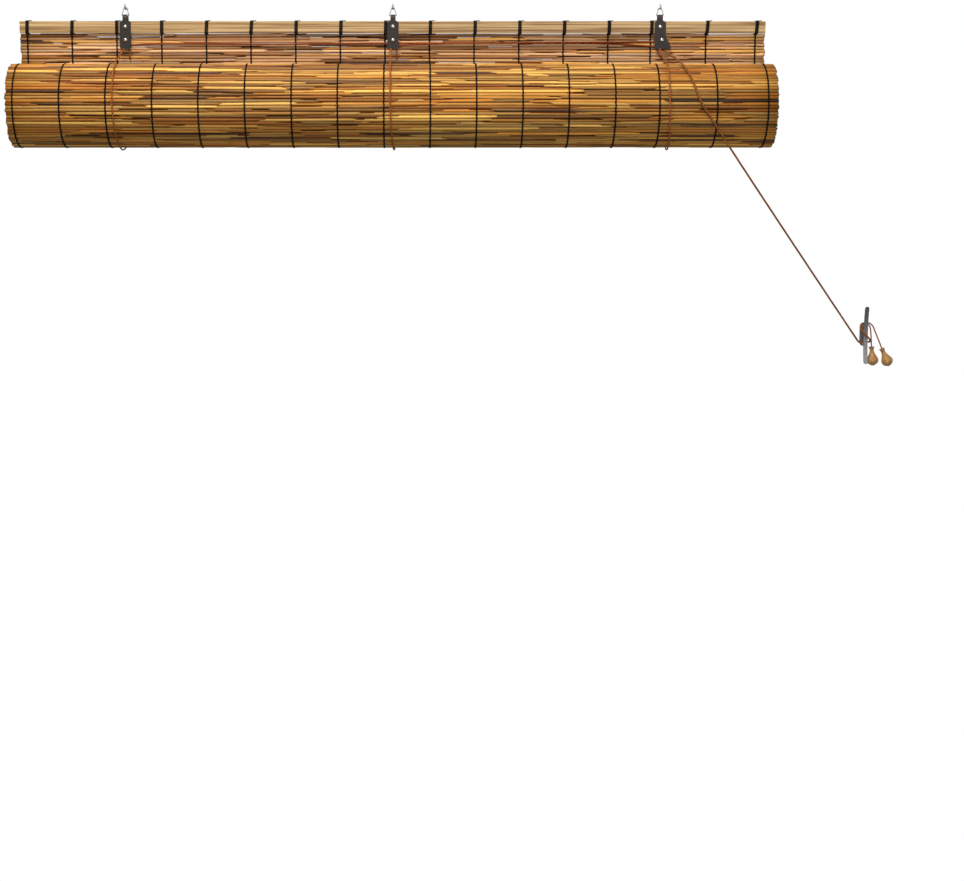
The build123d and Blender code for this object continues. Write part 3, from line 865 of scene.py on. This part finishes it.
    def _cleat(self) -> Material:
        """Grey metal with painted shade: darker towards the upper horn."""
        paint = Paint("grey_paint")
        # painted shade: the grey darkens with height, from the lower horn to the upper one
        height = paint.mapped(paint.parts(paint.place())["Z"], -0.66, -0.585)
        tone = paint.ramp(height, (0.0, 0.24, 0.24, 0.245), (1.0, 0.13, 0.13, 0.135))
        wear = paint.ramp(paint.noise(700.0, 3.0), (0.3, 0.85), (0.7, 1.1))
        return paint.done(Base_Color=paint.mix(1.0, tone, wear, "MULTIPLY"), Roughness=0.36, Metallic=0.55)

    def _cord(self, name: str, light: tuple, dark: tuple) -> Material:
        """Twisted cord of three strands. The object's own turns property sets how often they go round.

        Args:
            name: the material's name.
            light: colour of the strands.
            dark: painted shade in the grooves between them.

        Returns:
            The material.
        """
        paint = Paint(name)
        length, around, _ = paint.parts(paint.node("ShaderNodeUVMap").outputs["UV"])
        turns = paint.math("MULTIPLY", length, paint.number("turns", "OBJECT"))
        turned = paint.math("MULTIPLY", turns, 2 * math.pi)
        phase = paint.math("MULTIPLY_ADD", around, 2 * math.pi * 3, turned)
        strand = paint.math("MULTIPLY_ADD", paint.math("SINE", phase), 0.5, 0.5)
        # painted shade: the grooves between the strands take the dark colour, deepest at their bottom
        base = paint.ramp(strand, (0.0, *(c * 0.4 for c in dark)), (0.35, *dark), (1.0, *light))
        fuzz = paint.ramp(paint.noise(1500.0), (0.3, 0.75, 0.72, 0.7), (0.7, 1.15, 1.15, 1.12))
        base = paint.mix(0.8, base, fuzz, "MULTIPLY")
        return paint.done((0.8, 0.0006, strand), Base_Color=base, Roughness=0.85, Specular_IOR_Level=0.12)

    def _pull(self) -> Material:
        """Turned pale wood with lengthwise grain."""
        paint = Paint("pull_wood")
        x, y, z = paint.parts(paint.place())
        fine, _ = paint.streaks(self.streaks, z, x, y, 0.12, 420.0)
        grain = paint.ramp(fine, (0.3, 0.20, 0.10, 0.03), (0.5, 0.38, 0.20, 0.062), (0.7, 0.47, 0.27, 0.095))
        return paint.done((0.25, 0.0004, fine), Base_Color=grain, Roughness=0.42)


class Wraps:
    """Thread wound round the headrail over the mat's edge, with a knot below and a loose end on top."""

    MID_Y = -10.45
    MID_Z = -34.7
    HALF_Y = 6.75
    HALF_Z = 11.95
    CORNER = 2.2
    STRANDS, FIRST, STEP = 4, -0.9, 1.65    # threads side by side in one wrap, and their places
    THREAD, LOOSE, KNOT = 0.82, 0.45, 1.7   # radii
    SIDES = 6

    def __init__(self) -> None:
        """Starts an empty mesh."""
        self.random = random.Random(SEED + 7)
        self.mesh = bmesh.new()

    def _outline(self) -> list[tuple[float, float]]:
        """The rounded loop round the slat.

        Returns:
            Front to back and height of its points, from the top middle.
        """
        loop = []
        for cy, cz, first in ((1, 1, 0), (1, -1, -90), (-1, -1, -180), (-1, 1, -270)):
            for k in range(4):
                a = math.radians(90 + first - 30 * k)
                y = cy * (self.HALF_Y - self.CORNER) + self.CORNER * math.cos(a)
                z = cz * (self.HALF_Z - self.CORNER) + self.CORNER * math.sin(a)
                loop.append((self.MID_Y + y, self.MID_Z + z))
        return loop

    def _strand(self, path: list[Vector], radius: float, closed: bool) -> None:
        """Adds a thread to the mesh.

        Args:
            path: points of its middle line, in millimetres.
            radius: half its thickness.
            closed: whether its end meets its start.
        """
        sides = self.SIDES
        rings = []
        count = len(path)
        for i, place in enumerate(path):
            ahead = path[(i + 1) % count] if closed or i + 1 < count else place
            behind = path[i - 1] if closed or i else place
            along = (ahead - behind).normalized()
            across = along.orthogonal() if abs(along.x) > 0.9 else along.cross(Vector((1, 0, 0))).normalized()
            other = along.cross(across)
            rings.append([self.mesh.verts.new((place + (across * cosine + other * sine) * radius) * MM)
                          for cosine, sine in circle(sides)])
        pairs = list(zip(rings[:-1], rings[1:]))
        if closed:
            pairs.append((rings[-1], rings[0]))
        for a, b in pairs:
            for j in range(sides):
                face = self.mesh.faces.new((a[j], a[(j + 1) % sides], b[(j + 1) % sides], b[j]))
                face.smooth = True
        if not closed:
            self.mesh.faces.new(reversed(rings[0]))
            self.mesh.faces.new(rings[-1])

    def _knot(self, place: Vector) -> None:
        """A small lumpy knot."""
        made = bmesh.ops.create_icosphere(self.mesh, subdivisions=2, radius=self.KNOT * MM)
        for vertex in made["verts"]:
            vertex.co *= self.random.uniform(0.85, 1.1)
        bmesh.ops.translate(self.mesh, verts=made["verts"], vec=place * MM)

    def make(self, name: str) -> Piece:
        """Makes all wraps.

        Args:
            name: the object's name.

        Returns:
            The one object that holds them.
        """
        outline = self._outline()
        rnd = self.random
        front = self.MID_Y - self.HALF_Y
        for x in LAY.threads:
            slant = rnd.uniform(0.2, 1.1)
            for k in range(self.STRANDS):
                path = []
                for y, z in outline:
                    lean = slant * (z - self.MID_Z) / self.HALF_Z
                    aside = self.FIRST + self.STEP * k + lean + rnd.uniform(-0.12, 0.12)
                    path.append(Vector((x + aside, y, z)))
                self._strand(path, self.THREAD, True)
            top = Vector((x + 4.8, front + 1.5, self.MID_Z + self.HALF_Z + 0.1))
            tail = [top, top + Vector((2.2, -0.3, 0.15)), top + Vector((rnd.uniform(4.2, 6), -0.8, 0.0))]
            self._strand(tail, self.LOOSE, False)
            self._knot(Vector((x + rnd.uniform(0.6, 1.8), front + 1.6, self.MID_Z - self.HALF_Z - 1.6)))
        mesh = bpy.data.meshes.new(name)
        self.mesh.to_mesh(mesh)
        self.mesh.free()
        return linked(name, mesh)


@dataclass
class Run:
    """One length of cord.

    Attributes:
        node: the CAD node it stands for.
        points: corners of its way, in millimetres.
        thick: its diameter in millimetres.
        bodies: the body it rides on, or the two it reaches between.
        between: heights from which and to which it passes from one body to the other.
    """

    node: str
    points: list
    thick: float
    bodies: tuple
    between: tuple = ()

    @property
    def part(self) -> str:
        """Last word of the node's name, such as front, loop or back."""
        return self.node.rsplit("_", 1)[-1]


class Cords:
    """The ways of all cords, from the same places as the frame's solids, in millimetres."""

    THIN, DRAW = 2.7, 3.6               # diameters
    TURN = 4.05                         # radius of a cord's way round a pulley
    OWN_LANE, FAR_LANE = -14.2, -11.4   # front to back; the left cord runs in the far lane
    PULLEY_Y, PULLEY_Z = -12.8, -68.2
    RISE = -72.25                       # where the cords come up to the pulleys
    START_Z = -77.35                    # where the front strands leave the brackets
    BACK_Y = -2.85                      # of the back strands, behind the mat
    BACK = 270.0                        # angle from the roll's top at which a loop ends
    SWING_Z = -350.0                    # above this the draw cord swings with the headrail
    CLEAT = (907.0, -617.5)

    def __init__(self) -> None:
        """Sets the places of the three cords and the radii of their ways round the roll."""
        self.pulleys = {"left": -502.0, "middle": 0.0, "right": 505.9}
        self.stations = {"left": -502.0, "middle": 0.0, "right": 502.0}
        self.loop = LAY.line_radius + LAY.reed / 2 + 0.4 + self.THIN / 2
        self.draw = LAY.line_radius + LAY.reed / 2 + 1.25 + self.DRAW / 2

    def _on_roll(self, radius: float, angle: float, x: float) -> Vector:
        """A point at an angle from the roll's top, forwards and down."""
        a = math.radians(angle)
        return Vector((x, LAY.roll_y - radius * math.sin(a), LAY.roll_z + radius * math.cos(a)))

    def _around(self, radius: float, angles: tuple, turns: int, across: tuple) -> list[Vector]:
        """Corners that hug the roll between two angles and two places across."""
        step = (angles[1] - angles[0]) / turns
        reach = radius / math.cos(math.radians(step / 2))
        wide = across[1] - across[0]
        return [self._on_roll(reach, angles[0] + step * (i + 0.5), across[0] + wide * (i + 0.5) / turns)
                for i in range(turns)]

    def _touch(self, y: float, z: float, radius: float) -> float:
        """Angle at which a tight cord from (y, z) meets the roll."""
        away = math.hypot(LAY.roll_y - y, LAY.roll_z - z)
        return math.degrees(math.atan2(LAY.roll_y - y, z - LAY.roll_z) + math.acos(radius / away))

    def lift(self, side: str) -> list[Run]:
        """One lift cord.

        Args:
            side: left, middle or right.

        Returns:
            Its front strand, the loop under the roll and its back strand.
        """
        x = self.pulleys[side] - self.TURN
        lane = self.FAR_LANE if side == "left" else self.OWN_LANE
        behind = self.stations[side] + (5.4 if side == "right" else 6.8)
        first = self.stations[side] + (-5.0 if side == "right" else 6.8)
        last = x + 12.0
        angle = self._touch(lane, self.START_Z, self.loop)
        corners = self._around(self.loop, (angle, self.BACK), 12, (x, x))
        for i, corner in enumerate(corners):
            corner.x = x + (last - x) * max(0.0, (i - 3) / 8)
        corners[-1].y = self.BACK_Y
        start = Vector((x, lane, self.START_Z))
        touch = corners[0] + (start - corners[0]).normalized() * 12.0
        front = vectors((x, lane, self.RISE), start, touch)
        y, deep = self.PULLEY_Y, self.BACK_Y
        back = vectors((first, y, -70.9), (first + 0.1, y, -80.05), (behind, y + 0.4, -91.5),
                       (behind, deep, -96.5), (last, deep, LAY.roll_z + 35), (last, deep, LAY.roll_z))
        end = self._on_roll(self.loop, self.BACK, last)
        both = (Body.HEAD, Body.CARRIAGE)
        return [Run(f"lift_cord_{side}_front", front, self.THIN, both, (self.START_Z, touch.z)),
                Run(f"lift_cord_{side}_loop", [touch, *corners, end], self.THIN, (Body.CARRIAGE,)),
                Run(f"lift_cord_{side}_back", back, self.THIN, both, (-100.0, LAY.roll_z))]

    def cross(self) -> list[Run]:
        """The cords that run along the mat to the right-hand pulley.

        Returns:
            One for each lift cord.
        """
        rise, leave, top = self.RISE, -76.3, self.PULLEY_Z + self.TURN
        own, far, y = self.OWN_LANE, self.FAR_LANE, self.PULLEY_Y
        right = self.pulleys["right"]
        left, middle = (self.pulleys[side] - self.TURN for side in ("left", "middle"))
        second, low, high = self.TURN + 2.42, right - self.TURN, right + self.TURN
        ways = {
            "left": vectors((left, far, rise), (left, far, top), (-250.0, far, top - 2.6),
                            (0, far, top + 0.6), (high, far, top), (high, far, leave)),
            "middle": vectors((middle, own, rise), (middle, own, top),
                              (right - 63, own, self.PULLEY_Z + second - 0.2),
                              (right + second, y, self.PULLEY_Z + second), (right + second, y, leave)),
            "right": vectors((low, own, rise), (low, own, top), (high, own, top), (high, own, leave)),
        }
        return [Run(f"cross_cord_{side}", points, self.THIN, (Body.HEAD,)) for side, points in ways.items()]

    def _at_cleat(self, *places: tuple) -> list[Vector]:
        """Points given from the cleat's middle, but front to back from the wall."""
        x, z = self.CLEAT
        return [Vector((x + a, b, z + c)) for a, b, c in places]

    def tail_end(self) -> list[Run]:
        """The cords that are pulled.

        Returns:
            The draw cord, its turns on the cleat and the two tails.
        """
        start = Vector((self.pulleys["right"] + self.TURN + 0.8, self.PULLEY_Y, -77.1))
        edge = start + Vector((0.8, -1.6, -3.2))
        touch = self._touch(edge.y, edge.z, self.draw)
        end = self._at_cleat((-14, -11, -11))[0]
        hug = self._around(self.draw, (touch, 107.5), 4, (edge.x + 9, edge.x + 56))
        arriving = (end - hug[-1]).normalized()
        wound = [end, end + arriving * 6.5, *self._at_cleat(
            (2.5, -9, -13), (10, -14, -14), (7.5, -21.5, -7), (-7, -22, 7), (-10.5, -14.5, 15),
            (-5.5, -9, 20), (3.5, -9, 20))]
        long = self._at_cleat((3.5, -9, 20), (7.6, -9, 20), (10.2, -11.5, 13.5), (11.3, -12.5, 1.5),
                              (12.2, -12.5, -11), (13.1, -12.5, -23.1))
        short = self._at_cleat((4.6, -9.5, 23.6), (13, -12, 21.2), (18.5, -12.5, 8), (23.9, -12.5, -5),
                               (29, -12.5, -16), (33, -12.5, -26.8))
        both, wall = (Body.HEAD, Body.WALL), (Body.WALL,)
        return [Run("draw_cord", [start, edge, *hug, end], self.DRAW, both, (self.SWING_Z, end.z)),
                Run("cleat_winding", wound, self.DRAW, wall), Run("tail_cord_long", long, self.THIN, wall),
                Run("tail_cord_short", short, self.THIN, wall)]

    def all(self) -> list[Run]:
        """Every length of cord."""
        lifts = [run for side in self.pulleys for run in self.lift(side)]
        return [*lifts, *self.cross(), *self.tail_end()]


class Shop:
    """Makes the pieces of the blind and hangs each on its body.

    Args:
        looks: the materials.
    """

    OUTER_ROWS = 84                             # in the roll's outer turn
    TWIST_THIN, TWIST_DRAW = 0.0088, 0.011      # metres of cord for one turn of its strands
    SHORTEST = 0.03                             # metres; each cord's length is compared with it; shorter cords are not declared

    def __init__(self, frame: dict, looks: Materials) -> None:
        """Makes the trees that the moving pieces share."""
        self.frame = frame
        self.looks = looks
        self.winding = WindingTree("winding").tree
        self.slack = SlackTree("slack").tree

    def _dress(self, made: Piece, material: Material) -> None:
        """Gives a piece its material."""
        made.data.materials.clear()
        made.data.materials.append(material)
        LOG.info("%s: %s", made.name, material.name)

    def _wound(self, made: Piece, node: str, body: Body) -> None:
        """Puts a piece of the mat in a frame node's place, with its winding and its body."""
        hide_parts(node)
        made.modifiers.new("winding", "NODES").node_group = self.winding
        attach(made, body.value)

    def mat(self) -> None:
        """The reeds and their threads, above the roll and in it."""
        reeds = ReedField(SEED)
        turn = int(LAY.hanging / LAY.pitch)
        near = turn + self.OUTER_ROWS
        spans = [("hanging", 0, turn, Body.HEAD), ("outer_turn", turn, near, Body.ROLL),
                 ("inner_turns", near, reeds.rows, Body.ROLL)]
        for part, first, last, body in spans:
            made = reeds.make("reeds_" + part, first, last, first < near)
            self._dress(made, self.looks.reed)
            self._wound(made, "flat_mat" if body is Body.HEAD else "rolled_mat", body)
        wraps = Wraps().make("wraps")
        self._dress(wraps, self.looks.wrap)
        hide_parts("rail_wraps")
        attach(wraps, Body.HEAD.value)
        for part, first, last, body in spans:
            made = BindingThreads().make("threads_" + part, first, last)
            self._dress(made, self.looks.thread)
            self._wound(made, "flat_threads" if body is Body.HEAD else "roll_threads", body)

    def cord(self, run: Run) -> None:
        """Makes one length of cord: a spline of round section, made a mesh where it has to stretch.

        Args:
            run: the length.
        """
        curve = bpy.data.curves.new(run.node + "_line", "CURVE")
        curve.dimensions = "3D"
        curve.bevel_depth = run.thick / 2 * MM
        curve.bevel_resolution = 3
        curve.resolution_u = 10
        curve.use_fill_caps = True
        spline = curve.splines.new("NURBS")
        spline.points.add(len(run.points) - 1)
        for point, place in zip(spline.points, run.points):
            point.co = (*(place * MM), 1)
        spline.order_u = 3
        spline.use_endpoint_u = True
        made = linked("show_" + run.node, curve)
        bpy.context.view_layer.update()
        length = spline.calc_length()
        path = None
        if len(run.bodies) == 2 or run.part == "loop":
            made, path = self._as_mesh(made)
            self._tighten(made, run, path)
        thin = run.thick == Cords.THIN
        made["turns"] = length / (self.TWIST_THIN if thin else self.TWIST_DRAW)
        material = self.looks.cord if thin else self.looks.draw
        if run.node.startswith("cross"):
            material = self.looks.dark_cord
        self._dress(made, material)
        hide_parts(run.node)
        if len(run.bodies) == 2:
            top, low = run.between
            top * MM
            low * MM
            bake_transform(made)
        else:
            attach(made, run.bodies[0].value)
        if length >= self.SHORTEST:
            run.points[0] * MM
            run.thick * MM
            "hanging" if run.bodies == (Body.WALL,) else "taut"

    def _as_mesh(self, made: Piece) -> tuple[Piece, list]:
        """Puts a mesh in place of a curve.

        Args:
            made: the curve object, which is removed.

        Returns:
            The mesh object, and the points of its centreline in metres.
        """
        name, curve = made.name, made.data
        meshes = []
        for depth in (curve.bevel_depth, 0.0):
            curve.bevel_depth = depth
            bpy.context.view_layer.update()
            shown = made.evaluated_get(bpy.context.evaluated_depsgraph_get())
            meshes.append(bpy.data.meshes.new_from_object(shown))
        tube, line = meshes
        bpy.data.objects.remove(made)
        tube.name = name
        return linked(name, tube), [tuple(v.co) for v in line.vertices]

    def _tighten(self, made: Piece, run: Run, path: list) -> None:
        """Gives a cord the numbers and the modifier that keep it tight as the roll goes down.

        Args:
            made: the cord's mesh.
            run: its way.
            path: points of its centreline, in metres.
        """
        line = kdtree.KDTree(len(path))
        travelled = [0.0]
        for i, place in enumerate(path):
            line.insert(place, i)
            if i:
                travelled.append(travelled[-1] + (Vector(place) - Vector(path[i - 1])).length)
        line.balance()
        touch = run.points[-1] * MM
        pivot = Vector((touch.x, Cords.BACK_Y * MM, LAY.roll_z * MM))
        first, last = Vector(path[0]), Vector(path[-1])
        top, low = (value * MM for value in run.between or (1.0, 0.0))
        name = "slack" if run.part == "cord" else "shrink"
        moves, swings = [], []
        for vertex in made.data.vertices:
            place, i, _ = line.find(vertex.co)
            share = clamped((place.z - low) / (top - low))
            move, swing = Vector(), 1.0
            if run.part == "cord":
                move, swing = first.lerp(last, travelled[i] / travelled[-1]) - place, share
            elif run.part == "loop":
                move = place - pivot
                move.x = 0.0
            elif run.part == "front":
                move = (touch - pivot) * (1.0 - share)
            moves.extend(move)
            swings.append(swing)
        made.data.attributes.new(name, "FLOAT_VECTOR", "POINT").data.foreach_set("vector", moves)
        made.data.attributes.new("swing", "FLOAT", "POINT").data.foreach_set("value", swings)
        made.modifiers.new("slack", "NODES").node_group = self.slack

    def cords(self) -> None:
        """All cords."""
        for run in Cords().all():
            self.cord(run)

    def frame_pieces(self) -> None:
        """CAD pieces that are shown as they are, each with its material."""
        looks = self.looks
        shown = {"headrail": looks.rail, "cleat": looks.cleat, "cleat_screws": looks.steel,
                 "pull_long": looks.pull, "pull_short": looks.pull}
        sided = {"bracket": looks.bracket, "rivets": looks.steel, "pulley_pin": looks.bracket,
                 "pulley": looks.pulley, "hook": looks.steel, "ring": looks.steel}
        for side in ("left", "middle", "right"):
            shown.update({f"{kind}_{side}": material for kind, material in sided.items()})
        for name, material in shown.items():
            materials = self.frame["nodes"][name].data.materials
            materials.clear()
            materials.append(material)
            LOG.info("%s: %s", name, material.name)


class Studio:
    """Floorless white studio: camera, soft lamps and background."""

    PLACE = Vector((37.0, -3520.0, -187.9))
    FOCAL_PX, WIDTH_PX = 1839.0, 964
    SENSOR = 36.0
    PITCH, YAW = math.radians(7.667), math.radians(0.338)
    SHIFT = (0.0605, -0.0865)
    SAMPLES = 96
    AMBIENT = 0.55

    def camera(self) -> None:
        """Puts the camera about as high as the roll's axis, tilted down a little."""
        data = bpy.data.cameras.new("camera")
        data.sensor_width = self.SENSOR
        data.lens = self.FOCAL_PX / self.WIDTH_PX * self.SENSOR
        data.shift_x, data.shift_y = self.SHIFT
        data.clip_start, data.clip_end = 0.05, 60.0
        made = linked("camera", data)
        made.location = self.PLACE * MM
        made.rotation_euler = (math.pi / 2 - self.PITCH, 0, -self.YAW)
        bpy.context.scene.camera = made

    def lamp(self, name: str, place: tuple, size: float, power: float, colour: tuple = (1, 1, 1)) -> None:
        """One square area lamp that looks at the roll."""
        data = bpy.data.lights.new(name, "AREA")
        data.size, data.energy, data.color = size, power, colour
        made = linked(name, data)
        made.location = place
        made.rotation_euler = (Vector((0, 0, -0.2)) - Vector(place)).to_track_quat("-Z", "Y").to_euler()

    def world(self) -> None:
        """White behind the object, softer light from all round."""
        world = bpy.data.worlds.new("world")
        bpy.context.scene.world = world
        world.use_nodes = True
        nodes = Nodes(world.node_tree)
        seen = nodes.node("ShaderNodeLightPath").outputs["Is Camera Ray"]
        strength = nodes.node("ShaderNodeMix", {0: seen, 2: self.AMBIENT, 3: 1.0}).outputs[0]
        way = nodes.node("ShaderNodeTexCoord").outputs["Generated"]
        split = nodes.node("ShaderNodeSeparateXYZ", {0: way})
        sky = nodes.ramp(nodes.mapped(split.outputs["Z"], -0.9, 0.9), (0.0, 0.50, 0.52, 0.42),
                         (0.5, 0.80, 0.80, 0.78), (1.0, 1.0, 0.97, 0.92))
        back = nodes.tree.nodes["Background"]
        connect(nodes.tree, back.inputs["Color"], nodes.mix(seen, sky, (1, 1, 1, 1)))
        connect(nodes.tree, back.inputs["Strength"], strength)

    def render(self) -> None:
        """Render settings."""
        scene = bpy.context.scene
        scene.render.engine = "CYCLES"
        scene.cycles.samples = self.SAMPLES
        scene.cycles.use_denoising = True
        scene.cycles.seed = SEED
        scene.view_settings.view_transform = "Standard"
        scene.view_settings.look = "None"
        scene.render.film_transparent = False

    def build(self) -> None:
        """Sets up everything."""
        self.camera()
        self.lamp("key", (-0.5, -1.5, 2.4), 1.1, 96.0, (1.0, 0.90, 0.76))
        self.lamp("fill", (0.6, -3.6, 0.2), 2.2, 34.0)
        self.world()
        self.render()


def main() -> None:
    """Builds the scene."""
    logging.basicConfig(level=logging.INFO)
    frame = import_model()
    looks = Materials()
    shop = Shop(frame, looks)
    shop.frame_pieces()
    shop.mat()
    shop.cords()
    Studio().build()


if __name__ == "__main__":
    main()
